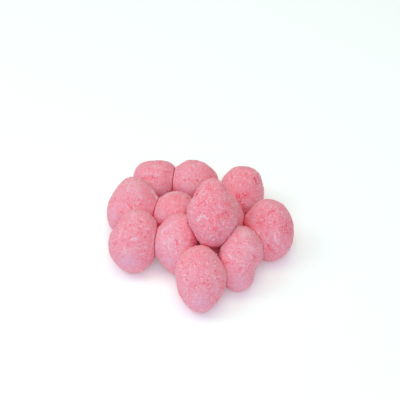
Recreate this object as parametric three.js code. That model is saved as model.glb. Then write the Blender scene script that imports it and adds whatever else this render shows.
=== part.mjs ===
// A small heap of strawberry bonbons: soft chewy sweets, rolled in pink sugar powder, lying loose on a
// table. Each sweet is an uneven egg-shaped lump of its own size. They lean on one another, and where two
// press together, or one lies on the table, the soft sweet is flattened.
// Millimetres, +Z up, +Y away from the front of the heap, +X to the right.
import * as THREE from "three";
import { mergeVertices } from "three/addons/utils/BufferGeometryUtils.js";

// ---- Driving dimensions ----
const TRIANGLE_ROWS = 6; // subdivisions of the ball that each sweet is shaped from
const LEAN = 45; // degrees by which the sweets' faces are laid back from upright
const FULLNESS = 2.2; // 2 is a plain ellipsoid, more is squarer
const COAT = 0.25; // thickness of the powder that covers the reaches and depths below
const LUMP_SPREAD = 14; // degrees round the face over which a corner or notch fades out
const CONTACT_GAP = 0.3; // air left between two sweets that touch
const PRESS_ROUNDING = 0.35; // how softly a pressed face rounds into the rest of the sweet
const TABLE_PRESS = 0.6; // how far a sweet's underside is flattened by its own weight
const NEIGHBOUR_REACH = 2.5; // sweets closer than this are pressed flat against each other

// ---- The sweets ----
// x and y give the sweet's middle. It lies on the table, unless `lift` gives the height of its middle.
// `reach` is how far its edge lies from its middle, seen face on, every eighth of a turn: right, up right,
// up, up left, left, down left, down, down right. `depth` is half its thickness through that face.
// `lumps` are corners of the edge, or notches if negative: the angle in degrees, and by how much.
const SWEETS = [
  { name: "front", x: 0.3, y: -28.1, depth: 10.4, reach: [10.8, 11.6, 14.5, 13.1, 10.4, 11.5, 14.1, 11.3] },
  {
    name: "front_left", x: -29.7, y: -5.2, depth: 10.4,
    reach: [10.6, 13.5, 13.8, 10, 10.8, 12.3, 13.9, 12.2], lumps: [[160, 0.3]],
  },
  {
    name: "middle_left", x: -9.9, y: -6.9, depth: 10.2,
    reach: [10.3, 11.9, 13.9, 11.1, 10.8, 10.7, 13.4, 12.2], lumps: [[240, -0.5]],
  },
  {
    name: "front_right", x: 17.9, y: -15.8, depth: 10,
    reach: [9.4, 11.7, 14.3, 11.5, 10.2, 12.8, 14.3, 8.9], lumps: [[-27, -1], [-65, 0.5]],
  },
  {
    name: "right", x: 31, y: 1.6, depth: 10.5,
    reach: [10.8, 11.9, 14, 12.2, 11.4, 11.5, 13.9, 12.6], lumps: [[81, -0.6], [65, 0.25]],
  },
  { name: "left", x: -30.7, y: 17, depth: 10.8, reach: [12.1, 11.9, 13.3, 10.8, 11.3, 13.8, 12.9, 12.3] },
  { name: "centre_left", x: -11.2, y: 13, depth: 9.7, reach: [9.4, 10, 9.6, 9.5, 10.3, 12.5, 13.2, 11.5] },
  {
    name: "back_left", x: -20.9, y: 35.8, depth: 9.7,
    reach: [9.9, 10.9, 9.6, 10.7, 10.2, 10.5, 9.7, 9.6], lumps: [[38, 0.4]],
  },
  { name: "back_middle", x: -2.5, y: 35, depth: 10, reach: [10.9, 9.7, 10.1, 10.4, 11.4, 11.1, 10.2, 10.2] },
  {
    name: "back_right", x: 19.7, y: 27, depth: 10,
    reach: [9.6, 10.8, 11.6, 11, 10.3, 11, 13, 11.3], lumps: [[55, 0.4]],
  },
  { name: "centre", x: 8.8, y: 6.8, depth: 11.4, reach: [11, 11.5, 12.4, 11, 9.9, 12, 15.2, 13] },
  {
    name: "top", x: 5.4, y: -3.6, lift: 28, depth: 10.3,
    reach: [10.3, 10.8, 15.2, 11.2, 10.8, 11.3, 14.7, 11.8], lumps: [[-20, 0.7], [68, 0.4], [250, 0.5]],
  },
];

// ---- Shape of one sweet, about its own middle ----
const LAID_BACK = new THREE.Matrix4().makeRotationX(THREE.MathUtils.degToRad(-LEAN));

// The edge's distance from the middle at an angle round the face: a smooth curve through the eight reaches,
// with the lumps on it.
function edgeAt({ reach, lumps = [] }, degrees) {
  const steps = reach.length;
  const along = ((degrees + 360) / 360) * steps;
  const first = Math.floor(along);
  const t = along - first;
  const [a, b, c, d] = [-1, 0, 1, 2].map((step) => reach[(first + step) % steps]);
  const smooth = b + 0.5 * t * (c - a + t * (2 * a - 5 * b + 4 * c - d + t * (3 * (b - c) + d - a)));
  return lumps.reduce((edge, [at, by]) => {
    const away = THREE.MathUtils.euclideanModulo(degrees - at + 180, 360) - 180;
    return edge + by * Math.exp(-((away / LUMP_SPREAD) ** 2));
  }, smooth + COAT);
}

function lump(sweet) {
  const ball = new THREE.IcosahedronGeometry(1, TRIANGLE_ROWS);
  ball.deleteAttribute("normal");
  ball.deleteAttribute("uv");
  const shape = mergeVertices(ball, 1e-4);
  const points = shape.getAttribute("position");
  const p = new THREE.Vector3();
  for (let i = 0; i < points.count; i++) {
    p.fromBufferAttribute(points, i).normalize();
    const outward = Math.hypot(p.x, p.z);
    const edge = edgeAt(sweet, THREE.MathUtils.radToDeg(Math.atan2(p.z, p.x)));
    const stretch = (outward ** FULLNESS + Math.abs(p.y) ** FULLNESS) ** (-1 / FULLNESS);
    points.setXYZ(i, p.x * edge * stretch, p.y * (sweet.depth + COAT) * stretch, p.z * edge * stretch);
  }
  return shape.applyMatrix4(LAID_BACK);
}

// ---- Placing: on the table, or lifted ----
const placed = SWEETS.map((sweet) => {
  const shape = lump(sweet);
  const points = shape.getAttribute("position");
  const underside = new THREE.Box3().setFromBufferAttribute(points).min.z;
  const middle = new THREE.Vector3(sweet.x, sweet.y, sweet.lift ?? -underside - TABLE_PRESS);
  shape.translate(middle.x, middle.y, middle.z);
  return { sweet, shape, points, middle };
});

// ---- Pressing ----
// The furthest that a sweet reaches along a direction.
function furthest(points, direction) {
  const p = new THREE.Vector3();
  let most = -Infinity;
  for (let i = 0; i < points.count; i++) {
    most = Math.max(most, p.fromBufferAttribute(points, i).dot(direction));
  }
  return most;
}

// How far apart two sweets are along a direction, less than 0 being an overlap, and where the middle of that
// space is.
function spaceAlong(one, other, normal) {
  const near = furthest(one.points, normal);
  const far = -furthest(other.points, normal.clone().negate());
  return { normal, apart: far - near, at: (near + far) / 2 };
}

// The flat face that two neighbours share: of the directions near the line between their middles, the one
// along which they overlap least, found by tilting that line in smaller and smaller steps.
const TILT_STEPS = [16, 8, 4, 2].map(THREE.MathUtils.degToRad);
const TILT_AXES = [new THREE.Vector3(1, 0, 0), new THREE.Vector3(0, 1, 0), new THREE.Vector3(0, 0, 1)];

function sharedFace(one, other) {
  const between = other.middle.clone().sub(one.middle).normalize();
  let best = spaceAlong(one, other, between);
  for (const tilt of TILT_STEPS) {
    for (const axis of TILT_AXES) {
      for (const angle of [tilt, -tilt]) {
        const tried = spaceAlong(one, other, best.normal.clone().applyAxisAngle(axis, angle));
        if (tried.apart > best.apart) best = tried;
      }
    }
  }
  return best;
}

// A soft limit: values well below zero stay, and none gets above it.
function softLimit(value) {
  return -PRESS_ROUNDING * Math.log1p(Math.exp(-value / PRESS_ROUNDING));
}

function pressBehind(points, normal, at) {
  const p = new THREE.Vector3();
  for (let i = 0; i < points.count; i++) {
    p.fromBufferAttribute(points, i);
    const past = p.dot(normal) - at;
    p.addScaledVector(normal, softLimit(past) - past);
    points.setXYZ(i, p.x, p.y, p.z);
  }
}

function pressOnTable(points) {
  for (let i = 0; i < points.count; i++) points.setZ(i, Math.max(points.getZ(i), 0));
}

const faces = [];
placed.forEach((one, i) => {
  for (const other of placed.slice(i + 1)) {
    const face = sharedFace(one, other);
    if (face.apart < NEIGHBOUR_REACH) faces.push({ one, other, ...face });
  }
});
for (const { one, other, normal, at } of faces) {
  pressBehind(one.points, normal, at - CONTACT_GAP / 2);
  pressBehind(other.points, normal.clone().negate(), -at - CONTACT_GAP / 2);
}
for (const { points } of placed) pressOnTable(points);

// ---- The heap, centred over the origin ----
const powderedPink = new THREE.MeshStandardMaterial({ color: 0xe39aa8, roughness: 0.95, metalness: 0 });

const heap = new THREE.Group();
for (const { sweet, shape } of placed) {
  const mesh = new THREE.Mesh(shape, powderedPink);
  mesh.name = `bonbon_${sweet.name}`;
  heap.add(mesh);
}
const box = new THREE.Box3().setFromObject(heap);
const centre = box.getCenter(new THREE.Vector3());
heap.position.set(-centre.x, -centre.y, -box.min.z);

export default heap;
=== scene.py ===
import math

import bmesh
import bpy
import numpy as np
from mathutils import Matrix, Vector, noise
from mathutils.bvhtree import BVHTree


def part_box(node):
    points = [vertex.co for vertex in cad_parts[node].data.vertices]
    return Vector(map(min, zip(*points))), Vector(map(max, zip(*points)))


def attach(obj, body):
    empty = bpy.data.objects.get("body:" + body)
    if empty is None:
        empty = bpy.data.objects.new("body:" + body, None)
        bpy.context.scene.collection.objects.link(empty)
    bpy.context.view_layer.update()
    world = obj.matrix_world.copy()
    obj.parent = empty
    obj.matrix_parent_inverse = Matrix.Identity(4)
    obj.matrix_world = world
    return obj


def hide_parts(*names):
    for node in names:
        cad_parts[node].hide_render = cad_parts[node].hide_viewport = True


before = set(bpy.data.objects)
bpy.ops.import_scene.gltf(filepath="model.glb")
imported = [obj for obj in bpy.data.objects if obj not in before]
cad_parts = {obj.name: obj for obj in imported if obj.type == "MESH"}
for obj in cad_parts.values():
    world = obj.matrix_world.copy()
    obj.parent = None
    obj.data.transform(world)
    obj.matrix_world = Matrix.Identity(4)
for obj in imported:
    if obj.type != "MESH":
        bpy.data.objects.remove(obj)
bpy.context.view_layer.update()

# ---- Camera ----
# A long lens looks down at 45 degrees on the front of the heap. It aims a little behind the heap's middle,
# so that the heap lies a little low in the picture.
MM = 0.001
LOOKING_DOWN = math.radians(45)
CAMERA_DISTANCE = 600 * MM
AIM = Vector((0.3, 9, 21.5)) * MM
FACE_RIGHT = Vector((1, 0, 0))
FACE_OUT = Vector((0, -math.cos(LOOKING_DOWN), math.sin(LOOKING_DOWN)))
FACE_UP = FACE_OUT.cross(FACE_RIGHT)

camera = bpy.data.objects.new("camera", bpy.data.cameras.new("camera"))
camera.data.lens = 120
camera.data.sensor_width = 36
camera.location = AIM + FACE_OUT * CAMERA_DISTANCE
camera.rotation_euler = (math.pi / 2 - LOOKING_DOWN, 0, 0)
bpy.context.scene.collection.objects.link(camera)
bpy.context.scene.camera = camera
bpy.context.scene.view_settings.view_transform = "Standard"


# ---- The sweets ----
# Each is a lump of soft chewy sugar, tumbled in pink sugar powder until the powder clings to it in a dull,
# mottled skin with pits and creases. The sweets lie loose on the table and on one another, and are rubbed
# bare where they touch. The deeper pink where they touch is partly that wear and partly painted shade, and
# the deep gaps between them are painted darker as shade.

class Socket:
    """An output of a node. Sums on it add nodes to the same tree."""

    def __init__(self, graph, out):
        self.graph = graph
        self.out = out

    def math(self, operation, *values):
        values = values or (self,)
        return self.graph.node("ShaderNodeMath", {"operation": operation}, dict(enumerate(values)))

    def __add__(self, other):
        return self.math("ADD", self, other)

    def __sub__(self, other):
        return self.math("SUBTRACT", self, other)

    def __rsub__(self, other):
        return self.math("SUBTRACT", other, self)

    def __mul__(self, other):
        return self.math("MULTIPLY", self, other)

    __radd__ = __add__
    __rmul__ = __mul__

    def at_most(self, other):
        return self.math("MINIMUM", self, other)

    def smooth_step(self, low, high):
        """0 up to the low value, 1 from the high one, and a smooth rise between them."""
        settings = {"interpolation_type": "SMOOTHSTEP"}
        sockets = {"Value": self, "From Min": low, "From Max": high}
        return self.graph.node("ShaderNodeMapRange", settings, sockets, "Result")

    def scaled(self, factor):
        """A vector, made longer or shorter."""
        settings = {"operation": "SCALE"}
        return self.graph.node("ShaderNodeVectorMath", settings, {0: self, "Scale": factor}, "Vector")

    def moved(self, way):
        """A vector with another one added."""
        settings = {"operation": "ADD"}
        return self.graph.node("ShaderNodeVectorMath", settings, {0: self, 1: way}, "Vector")


class Graph:
    """A node tree that is built by expressions."""

    def __init__(self, tree):
        self.tree = tree

    def node(self, kind, settings=None, sockets=None, out=0):
        made = self.tree.nodes.new(kind)
        for name, value in (settings or {}).items():
            if name == "stops":
                while len(made.color_ramp.elements) < len(value):
                    made.color_ramp.elements.new(1)
                for stop, (position, color) in zip(made.color_ramp.elements, value):
                    stop.position = position
                    stop.color = color
            else:
                setattr(made, name, value)
        for key, value in (sockets or {}).items():
            if isinstance(value, Socket):
                self.tree.links.new(value.out, made.inputs[key])
            else:
                made.inputs[key].default_value = value
        return Socket(self, made.outputs[out]) if len(made.outputs) else None

    def noise(self, place, wavelength, detail=2.0, roughness=0.5):
        """Noise from about -1 to 1, with bumps of that size, in the unit of place."""
        spread = 2.8
        sockets = {"Vector": place, "Scale": 1 / wavelength, "Detail": detail, "Roughness": roughness}
        return self.node("ShaderNodeTexNoise", {}, sockets, "Fac") * spread - spread / 2


class Modelling(Graph):
    """A Geometry Nodes tree with named inputs, which reshapes one mesh."""

    def __init__(self, name):
        super().__init__(bpy.data.node_groups.new(name, "GeometryNodeTree"))
        self.identifiers = {}
        self.tree.interface.new_socket("Geometry", in_out="OUTPUT", socket_type="NodeSocketGeometry")
        self.tree.interface.new_socket("Geometry", in_out="INPUT", socket_type="NodeSocketGeometry")
        self.inputs = self.tree.nodes.new("NodeGroupInput")
        self.geometry = Socket(self, self.inputs.outputs["Geometry"])

    def input(self, name, kind="NodeSocketFloat"):
        made = self.tree.interface.new_socket(name, in_out="INPUT", socket_type=kind)
        self.identifiers[name] = made.identifier
        return Socket(self, self.inputs.outputs[name])

    def attribute(self, name):
        """A number that the mesh holds at each of its points."""
        settings = {"data_type": "FLOAT"}
        return self.node("GeometryNodeInputNamedAttribute", settings, {"Name": name}, "Attribute")

    def with_attribute(self, geometry, name, value):
        """The geometry, with a number written at each of its points."""
        settings = {"data_type": "FLOAT", "domain": "POINT"}
        sockets = {"Geometry": geometry, "Name": name, "Value": value}
        return self.node("GeometryNodeStoreNamedAttribute", settings, sockets)

    def place_in_mm(self):
        return self.node("GeometryNodeInputPosition").scaled(1 / MM)

    def end(self, geometry):
        self.node("NodeGroupOutput", {}, {"Geometry": geometry})

    def run(self, obj, **values):
        """The plain mesh that the tree makes of an object."""
        modifier = obj.modifiers.new("modelling", "NODES")
        modifier.node_group = self.tree
        for name, value in values.items():
            modifier[self.identifiers[name]] = value
        made = bpy.data.meshes.new_from_object(obj.evaluated_get(bpy.context.evaluated_depsgraph_get()))
        obj.modifiers.remove(modifier)
        return made


# The marks of the tumbling, as strokes on the side that faces the camera, with some painted light and shade
# among them. Each stroke is its points, half width, height, tone and calm. Points and sizes are in mm, to
# the right of the sweet's middle and above it. The tone runs from -1, bare deep pink, to 1, thick pale
# powder, and calm from 0 to 1 smooths the skin and tints it lilac, which on the lower sides is painted cool
# light.
def pale(strength, width, *points):
    """A fleck or ridge of thick powder."""
    return points, width, 0.2 * strength, 0.85 * strength, 0


def deep(strength, width, *points):
    """A pit or crease that the powder has left."""
    return points, width, -0.28 * strength, -0.8 * strength, 0


def dusting_and_painted_light(tone, radius, *points, calm=0):
    """A place where the powder lies thicker, or thinner if the tone is negative. Some of these patches are
    painted light and shade: paler and lilac lower sides, paler low places in the shade of the sweets in
    front, and darker sides and rims turned from the lamps.
    """
    return points, radius, 0, tone, calm


def rise(height, width, *points):
    """A blunt edge of the sweet's own form."""
    return points, width, height, 0, 0


MARKS = {
    "bonbon_front": [
        pale(0.9, 0.4, (-9, 6.3), (-8.6, 5.3)), pale(1, 0.35, (-2.3, 5.7)),
        pale(0.6, 0.35, (-0.2, 7.9), (-1.5, 6.9)), pale(0.7, 0.3, (-5.7, 11.1)),
        pale(0.6, 0.35, (-7.9, 2.2), (-6.2, 1.8)), pale(0.6, 0.4, (-3.1, 3.5), (-1.8, 4.3)),
        pale(0.9, 0.4, (-7.1, -0.2)), pale(1.1, 0.4, (-5.9, -3.9)),
        pale(0.9, 0.35, (-3.3, -4), (-2.8, -5)), pale(0.9, 0.5, (2, -4.2)),
        pale(0.8, 0.7, (4.6, 1.2), (6.8, 0.6)), pale(0.6, 0.4, (5.1, 4.5)),
        deep(0.6, 0.5, (-7.8, 8), (-8.2, 6.6)), deep(1.2, 0.45, (-6, 0)),
        deep(0.5, 0.5, (-4.9, 3), (-5.7, 1.9)), deep(0.6, 0.4, (-1.4, 3.4)),
        deep(0.6, 0.5, (1, 5.5), (2, 6.1)), deep(0.6, 0.5, (3.6, 5.6)),
        deep(0.8, 0.55, (6.7, 5.1), (6.1, 3), (7.4, 2)), deep(0.9, 0.4, (7.5, 0.7)),
        deep(0.5, 0.4, (6.1, 8.4), (7.4, 7.1)), deep(0.5, 0.7, (-0.3, -0.9), (2.9, -1.6), (6.2, -1.5)),
        deep(0.9, 0.35, (3.7, -3.7)), deep(0.4, 0.7, (9.8, 0.7), (9.5, -2.5), (8.9, -4.9)),
        deep(1, 0.35, (-1.4, -13.2)), dusting_and_painted_light(-0.5, 1.5, (-2.5, -2)), dusting_and_painted_light(-0.4, 1.4, (7.3, -8.6)),
        # The calm patch on the next line, low on the sweet, is smoother, and its paleness and lilac are
        # painted cool light from below.
        dusting_and_painted_light(0.3, 3.2, (-0.3, -9.6), calm=0.7), dusting_and_painted_light(-0.2, 4, (-1, 9)),
    ],
    "bonbon_front_left": [
        pale(1, 0.35, (6.2, 13.3), (7.6, 12.3), (8.5, 11.1)), pale(0.6, 0.3, (3.5, 10.8), (5.2, 9.2)),
        pale(0.5, 0.4, (3.8, 6.9), (5, 7.1)),
        pale(0.6, 0.45, (-4, 5.9), (-4.4, 4), (-5.3, 2.2), (-6.2, 1)),
        pale(1, 0.3, (3.5, 4.2), (3.8, 3.1)), pale(0.9, 0.5, (-0.5, 0.6), (1.3, 1.2), (3.1, 1.6)),
        pale(0.5, 1.2, (-3.8, -2.7), (-2.1, -4.7)), pale(0.9, 0.35, (6, -1.9), (6.4, -2.9)),
        pale(0.7, 0.35, (4.7, -5.2), (5, -6.2)), pale(0.4, 0.7, (5.9, 5.1), (8.1, 6.8)),
        deep(0.6, 0.5, (2.7, 10), (5.1, 8.4)), deep(0.9, 0.5, (-0.7, 7.2)),
        deep(0.5, 0.4, (3.4, 6.9), (3.2, 5.3)), deep(0.6, 0.45, (-3.6, 3.7)),
        deep(0.9, 0.5, (2.2, 3.3), (4, 4), (4.8, 2.8)), deep(0.6, 0.5, (-1.2, 1.7), (0.3, 1.3)),
        deep(0.5, 0.55, (5.1, 2), (7, 1.1)), deep(0.5, 0.5, (6, -3.9)), deep(0.4, 0.45, (5.1, -7.7)),
        deep(0.4, 0.7, (7.6, 4)), dusting_and_painted_light(-0.6, 0.9, (-6.9, -1)), dusting_and_painted_light(-0.5, 1.2, (-1.3, -1.3)),
        # The calm patch on the next line, low on the sweet, is smoother, and its paleness and lilac are
        # painted cool light from below.
        dusting_and_painted_light(0.35, 2, (-1, 11.3), (2.3, 12.2)), dusting_and_painted_light(0.35, 4, (-1.6, -8.8), calm=0.8),
    ],
    "bonbon_middle_left": [
        pale(0.9, 0.6, (-8.1, 4), (-6.6, 6.2), (-4.7, 8)), pale(0.6, 0.65, (-9.1, -0.1), (-9.4, -2.4)),
        pale(0.9, 0.35, (1, 2.1), (0.8, 0.6)), pale(0.6, 0.45, (-3.3, 1.2), (-1.9, 1.6)),
        pale(0.7, 0.4, (-6.8, 0.2), (-5.3, 0.9)), pale(0.8, 0.45, (-7.1, -1.2)),
        pale(0.5, 0.8, (-0.8, -4)), pale(0.5, 0.35, (-1.8, -8.3)),
        pale(0.5, 0.8, (-1.5, 10.9), (-0.4, 9.2)), pale(0.5, 0.45, (-3.7, -1.3)),
        deep(0.5, 0.55, (-1.8, 6.9)), deep(0.5, 0.5, (-1.5, 4.7)), deep(0.4, 0.5, (-4.3, -4.7)),
        deep(1.4, 0.5, (-1.6, 2.6), (-0.5, 1.7), (-0.2, 0.2), (-0.8, -1.1)),
        deep(0.5, 0.5, (-5.5, -0.3), (-4.6, -2)), deep(1, 0.5, (-6.9, -4.8)),
        dusting_and_painted_light(-0.35, 1.7, (3.5, 6.4)), dusting_and_painted_light(-0.3, 1.1, (4.1, 2.6)), dusting_and_painted_light(0.5, 1.2, (-3.4, 8.1)),
        # The calm patch on the next line, low on the sweet, is smoother, and its paleness and lilac are
        # painted cool light from below.
        dusting_and_painted_light(0.5, 5, (-2.5, 0.5)), dusting_and_painted_light(0.3, 3, (-2.6, -7.5), calm=0.7),
    ],
    "bonbon_front_right": [
        pale(0.5, 0.8, (-2.4, 8.1), (-0.8, 8.5)), pale(0.5, 0.9, (2.3, 4.2), (6.7, 5)),
        pale(1, 0.35, (-6.5, 8), (-7.4, 6), (-7.8, 4.3)), pale(0.8, 0.5, (-6.2, 3.8), (-4.8, 3.6)),
        pale(1.3, 0.45, (-5.8, 2.3), (-4.1, 0.8), (-2.8, -0.2)), pale(0.9, 0.35, (-7.4, 1.8)),
        pale(0.7, 0.3, (-0.6, 0.4), (-0.7, -0.7)), pale(1.3, 0.35, (-4.2, -3.1)),
        pale(1.4, 0.35, (1.6, -3)), pale(0.9, 0.3, (0.1, -2.7)), pale(0.7, 0.5, (-3.5, -4.8)),
        pale(0.6, 0.4, (-1.6, -1.2)), deep(0.5, 0.4, (2.3, 9.1), (3.5, 8.7)),
        deep(0.7, 0.4, (5.3, 8.4), (5.8, 7.5)), deep(0.7, 0.5, (0.1, 6.8)), deep(0.5, 0.45, (-1.9, 6.2)),
        deep(0.9, 0.55, (-0.3, 3.2)), deep(0.5, 0.45, (-4.1, 4.9)),
        deep(0.6, 0.8, (4.9, 2.6), (6, 0.7), (7.9, 1.2)), deep(0.9, 0.55, (0.6, -3.5)),
        deep(0.8, 0.5, (3.1, -4.8), (2.8, -6.2)), deep(0.5, 0.55, (-0.6, -2.8), (-0.1, -5.1)),
        deep(0.5, 0.5, (-3.1, -1.8)), deep(0.5, 0.5, (-1.9, -6.1)), dusting_and_painted_light(-0.6, 0.9, (5.8, -0.2)),
        dusting_and_painted_light(-0.5, 0.9, (-6, -1.7)), dusting_and_painted_light(0.5, 2.6, (-0.4, 11.5), (4.2, 11.5)),
        # The calm patch on the next line, low on the sweet, is smoother, and its paleness and lilac are
        # painted cool light from below.
        dusting_and_painted_light(0.1, 5, (-1, 3.5)), dusting_and_painted_light(0.35, 3.3, (-1, -10.2), calm=0.8),
    ],
    "bonbon_right": [
        pale(0.6, 0.45, (-6.3, 9), (-4.2, 10), (-2.7, 11.2)), pale(0.9, 0.45, (-5.2, 6.4), (-4, 7.5)),
        pale(0.6, 0.35, (-1.8, 11.5), (0.1, 12.3)), pale(0.5, 0.4, (-0.3, 10.1), (1, 10.8)),
        pale(0.5, 0.35, (-1.7, 8.5), (-0.3, 9.2)), pale(0.9, 0.4, (3.7, 7.8)), pale(0.8, 0.4, (3.5, 3.5)),
        pale(1, 0.55, (1.9, -0.8), (2.2, -3.3), (2.9, -5.7)), pale(0.9, 0.35, (3.5, -3.7), (4, -5.1)),
        pale(0.9, 0.3, (3, 0.3), (3.5, -1.1)), pale(0.9, 0.3, (5.1, -0.8), (5.3, -2.4)),
        pale(1, 0.4, (-5.5, -0.6), (-4.2, -1.9)), pale(0.9, 0.3, (-2.8, -1.7), (-2.2, -2.7)),
        pale(0.6, 0.4, (0, 3.5)), pale(0.5, 0.4, (-2.8, 1.2)), pale(0.6, 0.4, (5.5, -6.7)),
        deep(0.7, 0.55, (-1.4, 6.4), (0.6, 7.9), (3.1, 8.7)), deep(0.5, 0.45, (-8, 10.6), (-6.1, 11.1)),
        deep(0.6, 0.4, (-8.9, 6.6), (-7.4, 6.9)), deep(0.6, 0.45, (-8.4, 4.5)),
        deep(0.5, 0.45, (-3.6, 4.2), (-2, 4.7)), deep(0.5, 0.5, (-5.9, 3.5), (-3.4, 2.4)),
        deep(1, 0.7, (2, 3.5)), deep(0.6, 0.7, (5.2, 8.5), (4.4, 10.2)), deep(0.8, 0.6, (7, -6.1)),
        deep(0.7, 0.7, (-1.1, -5.5), (0, -7.8), (1.2, -9.6)), deep(0.4, 0.5, (-0.6, 1.2)),
        # The darker patch down the right side, on the next line, is painted shade on the side turned from
        # the lamps.
        rise(1.3, 1.6, (3.2, 9), (3.8, 2), (3.8, -6)), dusting_and_painted_light(-0.6, 3, (7, 6), (7.5, -4)),
        dusting_and_painted_light(-0.4, 0.8, (-1.4, -1.6)), dusting_and_painted_light(-0.35, 5, (-3, 6)), dusting_and_painted_light(-0.2, 3, (1, -9)),
    ],
    "bonbon_left": [
        pale(1, 0.4, (-2.5, 3.9), (-2.7, 3)), pale(0.8, 0.45, (-1.9, -0.2), (-1.3, -1.8)),
        pale(1.2, 0.35, (0.6, 1.7), (1, -0.2), (1.5, -1.6)), pale(1.1, 0.4, (3.1, 1.8), (2.5, -0.9)),
        pale(0.8, 0.6, (2.9, 4.9), (4, 3.7), (4.7, 2.5)),
        # The strongest pale stroke, on the next line, runs along the right rim: a painted highlight of the
        # lit rim.
        pale(1.6, 0.4, (7.8, 8.5), (9.5, 6.3), (10.9, 4.1), (11.4, 1.7)),
        deep(1.1, 0.45, (-2.4, 9.6), (-2.6, 8.9)), deep(0.8, 0.5, (-1.3, 4.3), (-1.8, 2.6)),
        deep(0.6, 0.45, (-3, 1.7), (-2.3, 0.2)), deep(0.9, 0.5, (-0.8, 1.5), (-0.3, -0.7), (0.8, -2.2)),
        deep(1.1, 0.5, (1.2, 1.3), (1.6, -0.6)), deep(0.6, 0.4, (-7.9, 3.7), (-7.1, 1.8)),
        deep(0.8, 0.4, (-5.7, -3.7), (-4.2, -2.7)), deep(0.3, 0.9, (9.3, 5.5), (10.2, 2.1), (9.6, -0.7)),
        deep(0.4, 0.8, (3.9, 1.5), (4.7, -0.7)), dusting_and_painted_light(-0.35, 1.1, (-3.5, 7.7)),
        dusting_and_painted_light(0.4, 0.9, (-4.1, 0.7)), dusting_and_painted_light(-0.25, 1.7, (6.5, 5.5)), dusting_and_painted_light(0.4, 1.4, (2.2, 7.3)),
        # The calm patch on the next line, low on the left, is smoother, and its paleness and lilac are
        # painted cool light.
        dusting_and_painted_light(0.35, 4, (-1, 9)), dusting_and_painted_light(0.35, 3.2, (-8.5, -4.5), calm=0.7),
    ],
    "bonbon_centre_left": [
        pale(0.6, 0.9, (-6.7, 5.8), (-4.2, 8.8), (-0.5, 10.3), (3.5, 10.3)),
        pale(0.6, 0.35, (4.7, 9.7), (3.7, 8.2)), pale(0.4, 0.6, (-0.5, 6)), deep(0.9, 0.45, (6, 7.9)),
        deep(0.7, 0.5, (5.2, 0.3)), deep(0.4, 0.6, (1.2, 8.8), (0, 7.2)),
        deep(0.4, 0.5, (2.3, 4.9), (1.7, 3.2)), deep(0.3, 0.7, (-3.4, 3.8)),
        # The calm patch on the next line, on the left side, is smoother, and its paleness and lilac are
        # painted cool light.
        dusting_and_painted_light(0.2, 3, (-6, 0.5), calm=0.6), dusting_and_painted_light(-0.25, 4, (0, 8)),
    ],
    "bonbon_back_left": [
        pale(0.6, 0.7, (-6.2, 2.5), (-2.3, 2.9), (0.3, 3.8)), pale(0.6, 0.7, (0.6, 2.3), (3.2, 2.7)),
        pale(0.8, 0.35, (-1, -1), (-0.1, -0.5), (0.6, -1.3), (0.8, -2.3)), deep(0.8, 0.5, (3.2, 8.5)),
        deep(0.6, 0.35, (3.8, 4.3), (6.7, 4.1), (10, 4)),
        deep(0.6, 0.7, (-5.6, 1.4), (-2.9, 1.5), (-0.3, 1.8), (0.9, 0.9)),
        deep(1.4, 0.45, (-5.3, 0.8), (-3.8, -0.2)), deep(1.2, 0.4, (-0.4, -1.9)),
        deep(0.4, 0.6, (1.5, 0.6), (4.1, 0.9)), deep(0.35, 0.8, (-2.1, 5.9), (0.6, 4.7)),
        # The paler patch low on the sweet, on the next line, is painted light that lifts the shade of the
        # sweets in front.
        dusting_and_painted_light(-0.2, 1.8, (4.5, -1.5)), dusting_and_painted_light(0.55, 4, (3, -6)),
    ],
    "bonbon_back_middle": [
        pale(0.9, 0.4, (-0.8, 6.6)), pale(0.8, 0.35, (-5, 6.4)), pale(0.9, 0.35, (-3, 5)),
        pale(1, 0.35, (-4.4, 3.3)), pale(1, 0.4, (-5.4, 1.8)), pale(0.8, 0.4, (-8.4, 2.9)),
        pale(0.4, 0.5, (-9.8, 1.2), (-8, 0.5)), pale(0.7, 0.3, (0.5, 1.8), (2.2, -0.2)),
        pale(0.5, 0.35, (1.5, -1.6)), deep(1.1, 0.5, (-2.5, 1.3), (-3.2, 0.3)),
        deep(1.1, 0.5, (-5.7, 0.8), (-4.5, -0.2)), deep(0.6, 0.4, (-7.8, 1.1), (-7, 0.9)),
        deep(1, 0.5, (0.4, 0.8), (1.2, -0.3)), deep(0.7, 0.4, (-0.9, 5)), deep(0.5, 0.6, (-1.8, 3.2)),
        deep(0.5, 0.45, (-7.3, 3.8), (-6.7, 2)), deep(0.5, 0.7, (7, 1.8)), deep(0.6, 0.5, (-1.5, -5.6)),
        dusting_and_painted_light(-0.25, 2.3, (5.6, 4.1)), dusting_and_painted_light(0.3, 4, (-4, -1)),
        # The calm patch on the next line, low on the left, is smoother, and its paleness and lilac are
        # painted cool light.
        dusting_and_painted_light(0.3, 2, (-4.4, -3.2), calm=0.6), rise(-1.6, 2, (-3, 10), (4, 9)),
    ],
    "bonbon_back_right": [
        pale(0.8, 0.35, (-3.1, 7.1)), pale(0.7, 0.45, (-4.3, 5)), pale(0.6, 0.35, (-6.5, 8.8)),
        pale(0.9, 0.3, (0.7, 0.6)), pale(0.8, 0.3, (4.2, -0.2)), pale(0.8, 0.35, (7.4, -0.9)),
        pale(0.8, 0.35, (6.3, -2.9)), pale(0.7, 0.3, (-4.2, -0.5)), pale(0.8, 0.3, (6.4, 1.3)),
        pale(0.6, 0.3, (2.1, 1.9)), pale(0.6, 0.3, (2.9, 6.8)), pale(0.5, 0.6, (-1.4, 0.7)),
        deep(1.4, 0.5, (5.9, 7.2), (5.6, 6.1), (6.4, 4.6), (6.9, 3.1)), deep(0.6, 0.4, (7.4, 8.2)),
        deep(0.4, 0.7, (2.1, 11.5), (4.5, 11.1)), deep(0.5, 0.6, (-6.9, 5.6)),
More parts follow.
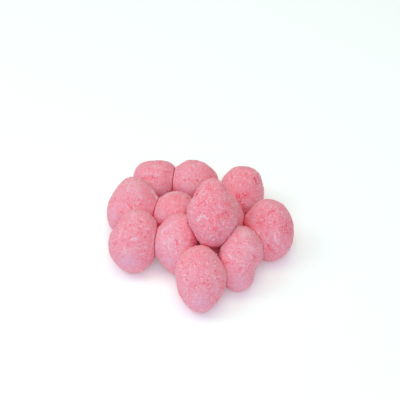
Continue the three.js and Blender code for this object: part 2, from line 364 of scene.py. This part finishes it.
        deep(0.5, 0.5, (-5.4, 2.9)), deep(0.5, 0.4, (-4.8, 6.6)), deep(0.5, 0.4, (0.3, 3.5)),
        deep(0.5, 0.5, (-2.6, -2.5)), deep(0.5, 0.8, (-1, -4.3)), deep(0.4, 0.5, (1.2, -1.6)),
        deep(0.5, 0.5, (5.3, -3.1)), deep(0.5, 0.45, (6.7, 2.4)),
        dusting_and_painted_light(-0.5, 1.3, (-4.9, -0.2), (-2, -1.6), (2, -1.3), (6.1, -1.6)),
        # The last, paler patch on the next line, low on the sweet, is painted light that lifts the shade of
        # the sweets in front.
        dusting_and_painted_light(-0.3, 1.2, (2, 7.6)), dusting_and_painted_light(-0.2, 6, (0, 4)), dusting_and_painted_light(0.4, 3.5, (3, -7)),
        rise(-1.4, 2, (9, 7), (9.5, 2)),
    ],
    "bonbon_centre": [
        pale(0.6, 0.55, (6.6, 9), (7.7, 7.3)), pale(0.4, 0.45, (9.2, 3.3)), deep(0.5, 0.7, (9.2, -0.6)),
    ],
    "bonbon_top": [
        pale(0.7, 0.5, (-9.2, 5.4), (-7.5, 5.6)), pale(0.7, 0.45, (-7.1, 4.3), (-5.8, 4.4)),
        pale(1, 0.35, (-4.4, 7.9), (-3.4, 8.9)), pale(1, 0.35, (-1.5, 7.7), (-1.3, 6.5)),
        pale(1, 0.45, (-1.9, 5.5), (-2.6, 4)), pale(0.8, 0.55, (-2.8, 2.6), (-2.6, 1.6)),
        pale(0.8, 0.4, (2.8, 7), (3.5, 6.5)), pale(1.3, 0.35, (1.4, 10.5)),
        pale(0.6, 0.4, (-9.4, 1.2), (-8.7, -0.5)),
        pale(1.6, 0.36, (-7.3, -3.3), (-6, -3), (-5.1, -1.6), (-4.5, 0.1)),
        pale(1.6, 0.36, (-4.4, -0.2), (-3.2, -1.2), (-2, -2.8)), pale(0.8, 0.4, (5, -3.7), (4.9, -4.5)),
        pale(0.9, 0.4, (6.7, -5.2), (5.4, -6.3)), pale(0.6, 0.4, (7.3, -3.8)),
        pale(0.8, 0.35, (3.5, -7.3), (4.3, -6.6)), pale(1, 0.35, (-0.7, -9.2), (-0.8, -10.1)),
        pale(1, 0.35, (-0.1, -11.7), (1, -10.8)), pale(1, 0.35, (-0.9, -13.1)),
        pale(0.6, 0.4, (-2, -7.7)), pale(0.4, 0.7, (-4.6, -9.3)), pale(0.4, 0.7, (-3.1, -6)),
        pale(0.7, 0.35, (6, 8.9), (6.9, 7.2), (7.8, 5.2)), pale(1.2, 0.35, (9.2, 3.9)),
        pale(0.6, 0.4, (2.2, 3.9), (4.4, 2.8)), pale(0.6, 0.35, (-7.8, 9.1), (-7.2, 9.8)),
        pale(0.7, 0.35, (0.3, -8.2)), deep(0.6, 0.4, (-7.7, 7.8), (-6.2, 8.9)),
        deep(0.6, 0.4, (-4.5, 8.9), (-3.7, 10)), deep(0.8, 0.5, (-7.2, 2.7), (-5.4, 4.1), (-3.7, 5.2)),
        deep(0.7, 0.45, (-4.4, 2.4), (-3.2, 3.9), (-2.6, 5.2)), deep(0.7, 0.45, (-6.1, 1.3), (-4.8, 0.5)),
        deep(0.7, 0.5, (-2.7, 6.7)), deep(0.8, 0.45, (0.1, 3.7), (1.7, 4.8)), deep(0.9, 0.4, (-3.7, 0.3)),
        deep(0.8, 0.55, (-3.8, -5)), deep(0.5, 0.5, (-6.1, -4.4)), deep(0.8, 0.4, (-5.6, -9.8)),
        deep(0.4, 0.8, (4.2, 13.2), (5.5, 10.5), (7.2, 6.6)), deep(0.5, 0.45, (0.9, 8)),
        deep(0.5, 0.4, (-2.1, 11.6), (-1, 13.8)), deep(0.5, 0.5, (5.3, 0.1)), deep(0.5, 0.5, (-1, -3.8)),
        deep(0.5, 0.4, (1.7, -11.5)), deep(0.4, 0.45, (2.2, -5.4)),
        dusting_and_painted_light(-0.4, 1.5, (-1.7, 10), (-1, 12.7)), dusting_and_painted_light(-0.3, 2.3, (5.8, 1.7), (4, -3)),
        dusting_and_painted_light(-0.3, 1.3, (0.7, -2.1)), dusting_and_painted_light(-0.6, 1.3, (0.7, -6.6)), dusting_and_painted_light(-0.5, 1, (3.3, -9)),
        dusting_and_painted_light(-0.35, 1, (7.7, -1.6)), dusting_and_painted_light(-0.3, 9, (0, 1)),
        deep(0.6, 0.3, (-6.5, 4.2), (-2.8, 9.5)), pale(0.6, 0.3, (-5.7, 5.3), (-1.7, 11.1)),
        deep(0.5, 0.35, (-8.2, 6.9), (-3.9, 12.3)), pale(0.5, 0.3, (-7.9, 5.2), (-4.4, 10.5)),
        # The darker patch along the right rim, on the next line, is painted shade on the rim turned from
        # the lamps.
        dusting_and_painted_light(-0.35, 1.4, (5.5, 7), (7.5, 3), (8.5, 0)), rise(0.6, 1.2, (1, 3), (2, -4), (1.5, -9)),
    ],
}

WAVER = 0.35  # mm by which a mark wanders from its stroke
WAVER_LENGTH = 2.2  # mm from one wander to the next
BREAK_LENGTH = 1.3  # mm from one break in a mark to the next
UNBROKEN = 0.85  # strength of a mark between its breaks and its strongest places
BREAK_DEPTH = 0.9  # how far its strength goes up and down
ROUND_THE_EDGE = 0.4  # how softly marks fade out at the edge of the face
TOUCH = 3.0  # mm within which a neighbour is looked for
WANDER_SEED = 1  # without it, the marks would wander differently at each run
noise.seed_set(WANDER_SEED)


def along_stroke(points, path):
    """How far points of the face lie from a stroke's path, and how near its ends, where it fades out."""
    nearest = np.full(len(points), np.inf)
    fade = np.ones(len(points))
    for i, (start, end) in enumerate(zip(path[:-1] or path, path[1:] or path)):
        start, along = np.array(start), np.subtract(end, start)
        reach = np.clip((points - start) @ along / max(along @ along, 1e-9), 0, 1)
        distance = np.linalg.norm(points - start - reach[:, None] * along, axis=1)
        if len(path) > 1:
            share = (i + reach) / (len(path) - 1)
            fade = np.where(distance < nearest, np.minimum(1, 4 * np.minimum(share, 1 - share)), fade)
        nearest = np.minimum(nearest, distance)
    return nearest, fade


def marked(mesh, strokes, middle, neighbours):
    """Writes on a mesh how high its marks stand, their tone and calm, and the mm of room to a neighbour."""
    count = len(mesh.vertices)
    places = np.empty(count * 3)
    normals = np.empty(count * 3)
    mesh.vertices.foreach_get("co", places)
    mesh.vertices.foreach_get("normal", normals)
    places = places.reshape(-1, 3)
    # Marks are at full strength on the face, half at its edge, and gone a little way round it.
    facing = np.clip(normals.reshape(-1, 3) @ np.array(FACE_OUT) / ROUND_THE_EDGE + 0.5, 0, 1)
    wander = np.array([noise.noise_vector(Vector(p) / (WAVER_LENGTH * MM)) for p in places])
    broken = np.array([noise.noise(Vector(p) / (BREAK_LENGTH * MM)) for p in places])
    facing *= np.clip(UNBROKEN + BREAK_DEPTH * broken, 0, 1)
    across = (places - middle) / MM + wander * WAVER
    points = np.stack([across @ np.array(FACE_RIGHT), across @ np.array(FACE_UP)], axis=1)
    height, tone, calm = np.zeros((3, count))
    for path, width, stroke_height, stroke_tone, stroke_calm in strokes:
        distance, fade = along_stroke(points, list(path))
        strength = np.exp(-((distance / width) ** 2)) * facing * fade
        height += stroke_height * strength
        tone += stroke_tone * strength
        calm += stroke_calm * strength
    found = [neighbours.find_nearest(Vector(p), TOUCH * MM)[3] for p in places]
    room = np.array([TOUCH if distance is None else distance / MM for distance in found])
    for name, values in {"mark": height, "tone": tone, "calm": calm, "room": room}.items():
        mesh.attributes.new(name, "FLOAT", "POINT").data.foreach_set("value", values.astype(np.float32))


OUTLOOK = 14 * MM  # how far out of a hollow its surroundings are looked for
OUTLOOK_LINES = 32  # lines that look for them
LEAST_TILT = 1.001  # just over 1, so that no line has a length of 0


# The closeness written here is used to paint shade into the deep gaps between the sweets.
def hollowed(mesh, neighbours):
    """Writes on a mesh how far neighbours and table close it in, from 0 in the open to 1 in a deep gap."""
    ways = []
    for i in range(OUTLOOK_LINES):
        height = 1 - (2 * i + 1) / OUTLOOK_LINES
        turn = i * math.pi * (3 - math.sqrt(5))
        ring = math.sqrt(1 - height**2)
        ways.append(Vector((ring * math.cos(turn), ring * math.sin(turn), height)))

    def is_closed(start, line):
        on_table = start.z + line.z * OUTLOOK < 0
        return on_table or neighbours.ray_cast(start, line, OUTLOOK)[0] is not None

    closed = []
    for vertex in mesh.vertices:
        lines = [(vertex.normal * LEAST_TILT + way).normalized() for way in ways]
        closed.append(sum(is_closed(vertex.co, line) for line in lines) / OUTLOOK_LINES)
    mesh.attributes.new("hollow", "FLOAT", "POINT").data.foreach_set("value", closed)


LUMP_LENGTH = 8.5  # mm from one lump of the sweet's own form to the next
CLUMP_LENGTH = 2.8  # mm, and the same for the clumps of powder, its grains, the pits and the folds
GRAIN_LENGTH = 0.85
PIT_LENGTH = 1.6
FOLD_LENGTH = 4.5
FOLDED_PLACES = 5.5  # mm from one place that has folds to the next
CALMED = 0.75  # share of its roughness that a calm place loses
MARK_RELIEF = 0.7  # share of a mark's height that shows through the powder
SWELLING = 0.7  # mm by which the skin swells towards a near neighbour
GAP_SHARE = 0.45  # share of the gap to a neighbour that the skin may fill
EVEN_POWDER = 0.52  # how thick the powder lies where nothing changes it, from 0 to 1
MARK_TONE = 0.46  # powder that a mark of tone 1 adds
CONTACT_WEAR_AND_SHADE = 0.4  # powder taken off where a neighbour touches: partly wear, partly painted shade
PAINTED_GAP_SHADE = 0.6  # powder taken off in a deep gap: painted shade


def powdered_skin():
    """The tree that raises the skin's lumps, clumps and pits, and says where the powder is thick, with
    painted shade in the gaps and creases between the sweets.
    """
    skin = Modelling("powdered_skin")
    seed = skin.input("Seed", "NodeSocketVector")
    lump_height = skin.input("Lump Height")
    clump_height = skin.input("Clump Height")
    pit_depth = skin.input("Pit Depth")
    fold_depth = skin.input("Fold Depth")
    coat = skin.input("Coat")
    grain_height = skin.input("Grain Height")

    place = skin.place_in_mm().moved(seed)
    room = skin.attribute("room")
    rough = 1 - skin.attribute("calm").at_most(1) * CALMED
    # Near a contact the relief is flattened and the powder thinned; the deeper pink there is partly wear
    # and partly painted shade in the crease.
    near_contact = 1 - room.smooth_step(0.2, 0.9)

    lumps = skin.noise(place, LUMP_LENGTH, 1)
    clumps = skin.noise(place, CLUMP_LENGTH, 3, 0.6)
    grain = skin.noise(place, GRAIN_LENGTH, 3, 0.75)
    pits = skin.noise(place, PIT_LENGTH, 2).smooth_step(0.5, 0.95)
    fold_lines = 1 - skin.noise(place, FOLD_LENGTH, 3, 0.55).math("ABSOLUTE").smooth_step(0.0, 0.16)
    folds = fold_lines * skin.noise(place, FOLDED_PLACES, 1).smooth_step(0.1, 0.7)

    height = clumps * clump_height + grain * grain_height - pits * pit_depth - folds * fold_depth
    height = (lumps * lump_height + height * rough + skin.attribute("mark") * MARK_RELIEF) * (1 - near_contact)
    swelling = (1 - room.smooth_step(0.3, 2.6)) * SWELLING
    height = (height + coat + swelling).at_most(room * GAP_SHARE)
    powder = EVEN_POWDER + (clumps * 0.07 - pits * 0.12 + grain * 0.2 - folds * 0.12) * rough
    # Powder taken off in deep gaps is painted shade: the pink deepens where neighbours and table close the
    # skin in.
    hollow = skin.attribute("hollow").smooth_step(0.55, 1.0)
    powder = powder + skin.attribute("tone") * MARK_TONE - near_contact * CONTACT_WEAR_AND_SHADE - hollow * PAINTED_GAP_SHADE

    offset = skin.node("GeometryNodeInputNormal").scaled(height * MM)
    raised = skin.node("GeometryNodeSetPosition", {}, {"Geometry": skin.geometry, "Offset": offset})
    skin.end(skin.with_attribute(raised, "powder", powder))
    return skin


def srgb(red, green, blue):
    """A colour given as it looks on a screen, 0 to 255, as the shader takes it."""
    share = [value / 255 for value in (red, green, blue)]
    return [s / 12.92 if s <= 0.04045 else ((s + 0.055) / 1.055) ** 2.4 for s in share] + [1]


DEEPEST_RED_AND_GAP_SHADE = srgb(206, 40, 68)
BARE_PINK = srgb(242, 84, 106)
PLAIN_PINK = srgb(243, 150, 167)
PALE_PINK = srgb(240, 198, 214)
LILAC = srgb(228, 158, 190)
POWDER_GRAIN = 0.45 * MM
SPECKS = 1.0 * MM
DRIFTS = 9 * MM


def powder_material():
    """Deep pink where the powder is thin, paler where it is thick, and lilac in drifts and calm places. The
    deepest red, in gaps and creases, is partly painted shade, and the lilac of the calm places is painted
    cool light.
    """
    material = bpy.data.materials.new("pink_sugar_powder")
    material.use_nodes = True
    material.node_tree.nodes.clear()
    look = Graph(material.node_tree)
    place = look.node("ShaderNodeTexCoord", {}, {}, "Object")
    powder = look.node("ShaderNodeAttribute", {"attribute_name": "powder"}, {}, "Fac")
    fine = look.noise(place, POWDER_GRAIN, 2, 0.7)
    thickness = powder + fine * 0.5 + look.noise(place, SPECKS, 2, 0.6) * 0.22
    # The deepest red stop shows in the deepest pits and, as painted shade, in the gaps and creases between
    # the sweets.
    stops = [(0, DEEPEST_RED_AND_GAP_SHADE), (0.08, BARE_PINK), (0.5, PLAIN_PINK), (0.95, PALE_PINK)]
    dusted = look.node("ShaderNodeValToRGB", {"stops": stops}, {"Fac": thickness}, "Color")
    calm = look.node("ShaderNodeAttribute", {"attribute_name": "calm"}, {}, "Fac")
    # The calm share of the lilac is painted cool light on the lower sides; the drifts are the powder's own
    # tone.
    lilac = look.noise(place, DRIFTS, 2).smooth_step(-0.5, 1.2) * 0.25 + calm * 0.5
    mix = {"data_type": "RGBA", "blend_type": "MIX"}
    tinted = look.node("ShaderNodeMix", mix, {0: lilac, 6: dusted, 7: LILAC}, 2)
    relief = {"Height": fine, "Distance": 0.06 * MM, "Strength": 0.6}
    bump = look.node("ShaderNodeBump", {}, relief, "Normal")
    surface = look.node("ShaderNodeBsdfPrincipled", {}, {
        "Base Color": tinted,
        "Roughness": 0.9 - fine * 0.06,
        "Specular IOR Level": 0.3,
        "Subsurface Weight": 0.15,
        "Subsurface Radius": (1.0, 0.35, 0.4),
        "Subsurface Scale": 1.5 * MM,
        "Sheen Weight": 0.12,
        "Sheen Roughness": 0.45,
        "Sheen Tint": srgb(255, 226, 226),
        "Normal": bump,
    }, "BSDF")
    look.node("ShaderNodeOutputMaterial", {}, {"Surface": surface})
    return material


FINENESS = 3  # times that the solid's triangles are split
SKIN = {  # mm
    "Lump Height": 0.3, "Clump Height": 0.09, "Grain Height": 0.09,
    "Pit Depth": 0.14, "Fold Depth": 0.12, "Coat": 0.08,
}
SEED_STEP = Vector((37, 61, 83))  # mm from one sweet's part of the noise to the next

powder_skin = powdered_skin()
pink_powder = powder_material()
NAMES = sorted(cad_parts)


def loose_copy(name):
    """A copy of a solid's mesh with its triangles joined."""
    joined = bmesh.new()
    joined.from_mesh(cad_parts[name].data)
    bmesh.ops.remove_doubles(joined, verts=joined.verts, dist=0.01 * MM)
    mesh = bpy.data.meshes.new(name)
    joined.to_mesh(mesh)
    joined.free()
    return mesh


def neighbours_of(name):
    """The solids of all the other sweets, for finding how near they are."""
    others = bmesh.new()
    for other in NAMES:
        if other != name:
            others.from_mesh(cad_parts[other].data)
    tree = BVHTree.FromBMesh(others)
    others.free()
    return tree


def sweet(number, name):
    """One sweet: its solid made finer, marked, and covered with the powdered skin."""
    neighbours = neighbours_of(name)
    solid = loose_copy(name)
    hollowed(solid, neighbours)
    piece = bpy.data.objects.new(name.replace("bonbon", "sweet"), solid)
    bpy.context.scene.collection.objects.link(piece)
    finer = piece.modifiers.new("finer", "SUBSURF")
    finer.levels = finer.render_levels = FINENESS
    mesh = bpy.data.meshes.new_from_object(piece.evaluated_get(bpy.context.evaluated_depsgraph_get()))
    piece.modifiers.clear()
    low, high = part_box(name)
    marked(mesh, MARKS[name], np.array((low + high) / 2), neighbours)
    piece.data = mesh
    piece.data = powder_skin.run(piece, Seed=SEED_STEP * number, **SKIN)
    for vertex in piece.data.vertices:
        vertex.co.z = max(vertex.co.z, 0)
    piece.data.shade_smooth()
    piece.data.materials.clear()
    piece.data.materials.append(pink_powder)
    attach(piece, "root")
    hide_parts(name)
    return piece


sweets = [sweet(number, name) for number, name in enumerate(NAMES)]


# ---- Crumbs and sugar crystals ----
# Loose powder sticks to the sweets as small pink crumbs, with pale crystals of sugar among them that glint.
# Both are scattered over each sweet, in drifts, and not where it touches a neighbour.
GRAIN_DRIFTS = 3.2  # mm from one drift of grains to the next
ANY_TURN = (6.3, 6.3, 6.3)  # radians, about a full turn each way
GRAIN_POWDER = 0.9  # a crumb is nearly all powder


def grains(name, shape, shape_size):
    """A tree that scatters copies of one small shape over a sweet, more in some places than in others."""
    scatter = Modelling(name)
    seed = scatter.input("Seed", "NodeSocketInt")
    density = scatter.input("Density")
    smallest = scatter.input("Smallest", "NodeSocketVector")
    largest = scatter.input("Largest", "NodeSocketVector")
    material = scatter.input("Material", "NodeSocketMaterial")

    drifts = scatter.noise(scatter.place_in_mm(), GRAIN_DRIFTS, 2).smooth_step(-0.6, 0.8)
    spread = density * drifts * scatter.attribute("room").smooth_step(0.5, 1.5)
    sockets = {"Mesh": scatter.geometry, "Density": spread, "Seed": seed}
    points = scatter.node("GeometryNodeDistributePointsOnFaces", {}, sockets, "Points")
    vector = {"data_type": "FLOAT_VECTOR"}
    turned = scatter.node("FunctionNodeRandomValue", vector, {0: (0, 0, 0), 1: ANY_TURN, "Seed": seed}, 0)
    sized = scatter.node("FunctionNodeRandomValue", vector, {0: smallest, 1: largest, "Seed": seed + 1}, 0)
    grain = scatter.node(shape, {}, shape_size, "Mesh")
    sockets = {"Points": points, "Instance": grain, "Rotation": turned, "Scale": sized}
    placed = scatter.node("GeometryNodeInstanceOnPoints", {}, sockets)
    whole = scatter.node("GeometryNodeRealizeInstances", {}, {"Geometry": placed})
    whole = scatter.with_attribute(whole, "powder", GRAIN_POWDER)
    scatter.end(scatter.node("GeometryNodeSetMaterial", {}, {"Geometry": whole, "Material": material}))
    return scatter


def sprinkled(name, scatter, material, density, smallest, largest):
    """One piece of all the grains of one kind. Each sweet's density is in grains per square mm."""
    whole = bmesh.new()
    for number, piece in enumerate(sweets):
        some = scatter.run(
            piece, Seed=10 * number, Density=density[piece.name] / MM**2, Material=material,
            Smallest=Vector(smallest) * MM, Largest=Vector(largest) * MM)
        whole.from_mesh(some)
    mesh = bpy.data.meshes.new(name)
    whole.to_mesh(mesh)
    whole.free()
    mesh.materials.append(material)
    piece = bpy.data.objects.new(name, mesh)
    bpy.context.scene.collection.objects.link(piece)
    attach(piece, "root")


def sugar_material():
    material = bpy.data.materials.new("sugar_crystal")
    material.use_nodes = True
    shader = material.node_tree.nodes["Principled BSDF"]
    shader.inputs["Base Color"].default_value = srgb(252, 234, 240)
    shader.inputs["Roughness"].default_value = 0.3
    return material


# Grains per square mm. The sweets on the right have gathered more crystals than those on the left.
CRUMBS = {piece.name: 0.4 for piece in sweets}
CRYSTALS = {
    "sweet_left": 0.03, "sweet_back_left": 0.03, "sweet_centre_left": 0.03, "sweet_front_left": 0.03,
    "sweet_middle_left": 0.05, "sweet_front": 0.16, "sweet_front_right": 0.16, "sweet_back_middle": 0.18,
    "sweet_right": 0.18, "sweet_back_right": 0.22, "sweet_centre": 0.22, "sweet_top": 0.26,
}
crumb = grains("crumbs", "GeometryNodeMeshIcoSphere", {"Radius": 1.0, "Subdivisions": 1})
crystal = grains("crystals", "GeometryNodeMeshCube", {"Size": (1, 1, 1)})
sprinkled("crumbs", crumb, pink_powder, CRUMBS, (0.1, 0.1, 0.08), (0.26, 0.26, 0.18))
sprinkled("crystals", crystal, sugar_material(), CRYSTALS, (0.15, 0.15, 0.15), (0.4, 0.36, 0.36))


# ---- Floor and light ----
# A white studio table, under soft light: warm from the ceiling, and cooler from the left and the front.
FLOOR_SIZE = 4  # m
LAMP_SIZE = 0.6  # m across


def plain_white():
    material = bpy.data.materials.new("white_table")
    material.use_nodes = True
    shader = material.node_tree.nodes["Principled BSDF"]
    shader.inputs["Base Color"].default_value = (0.86, 0.88, 0.9, 1)
    shader.inputs["Roughness"].default_value = 0.8
    shader.inputs["Emission Color"].default_value = (0.9, 0.95, 1, 1)
    shader.inputs["Emission Strength"].default_value = 0.2
    return material


def floor():
    mesh = bpy.data.meshes.new("floor")
    half = FLOOR_SIZE / 2
    corners = [(-half, -half, 0), (half, -half, 0), (half, half, 0), (-half, half, 0)]
    mesh.from_pydata(corners, [], [(0, 1, 2, 3)])
    mesh.materials.append(plain_white())
    made = bpy.data.objects.new("floor", mesh)
    bpy.context.scene.collection.objects.link(made)


def soft_light(name, place, power, color):
    """A round lamp that faces the heap."""
    light = bpy.data.lights.new(name, "AREA")
    light.shape = "DISK"
    light.size = LAMP_SIZE
    light.energy = power
    light.color = color
    made = bpy.data.objects.new(name, light)
    made.location = place
    made.rotation_euler = (-Vector(place)).to_track_quat("-Z", "Y").to_euler()
    bpy.context.scene.collection.objects.link(made)


floor()
soft_light("ceiling", (0, 0.05, 0.9), power=2.0, color=(1.0, 0.97, 0.44))
soft_light("window", (-0.58, 0, 0.69), power=2.2, color=(0.86, 0.97, 1.0))
soft_light("front", (0, -0.58, 0.69), power=2.8, color=(0.54, 0.8, 1.0))
world = bpy.data.worlds.new("studio")
world.use_nodes = True
background = world.node_tree.nodes["Background"]
background.inputs["Color"].default_value = (0.95, 0.96, 1, 1)
background.inputs["Strength"].default_value = 0.45
bpy.context.scene.world = world
